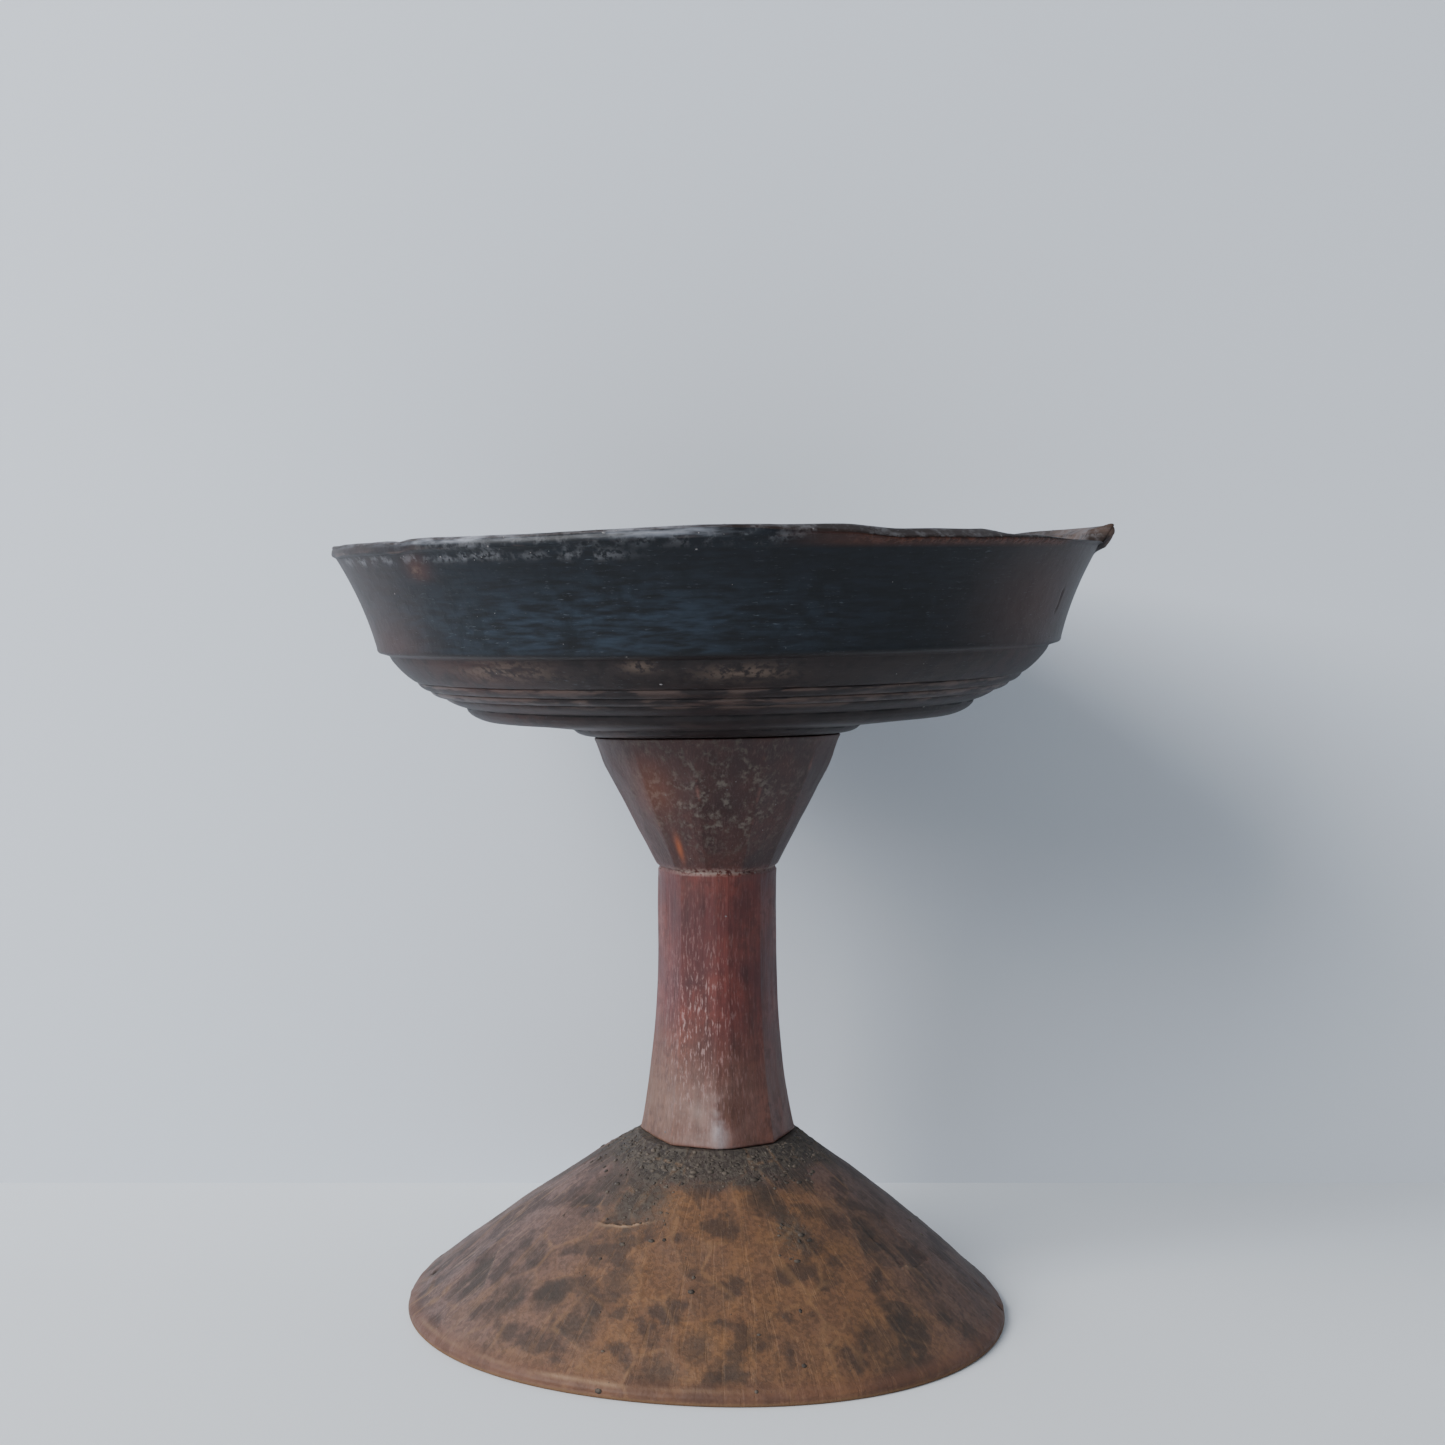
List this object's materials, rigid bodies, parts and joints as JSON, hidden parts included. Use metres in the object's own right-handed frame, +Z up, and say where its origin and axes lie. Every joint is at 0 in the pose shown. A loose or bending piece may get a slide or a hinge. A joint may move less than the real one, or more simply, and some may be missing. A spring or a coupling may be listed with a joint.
{
  "type": "carved wooden bowl",
  "caption": "Shallow turned wooden dish with a pouring lip and stepped rings, on a faceted carved stem and a wide hollow conical foot.",
  "frame": {"origin": "on the floor, under the middle of the whole bowl's bounding box", "axes": "+Z up along the stem; +X towards the side with the pouring lip, which points about 15 degrees from +X towards -Y"},
  "size_m": [0.399, 0.3954, 0.3967],
  "materials": {
    "dish_wood": "nearly black, blued and brown patches, worn satin with dust and scratches",
    "stem_wood": "dark red-brown, hand polished, upright grain",
    "foot_wood": "mottled ochre, brown and charcoal, tool facets, worn rim",
    "wedge_wood": "bare split wood, unfinished"
  },
  "bodies": {
    "root": {"dish": "dish_wood", "stem": "stem_wood", "foot": "foot_wood", "upper_wedge": "wedge_wood", "lower_wedge": "wedge_wood"}
  },
  "joints": []
}
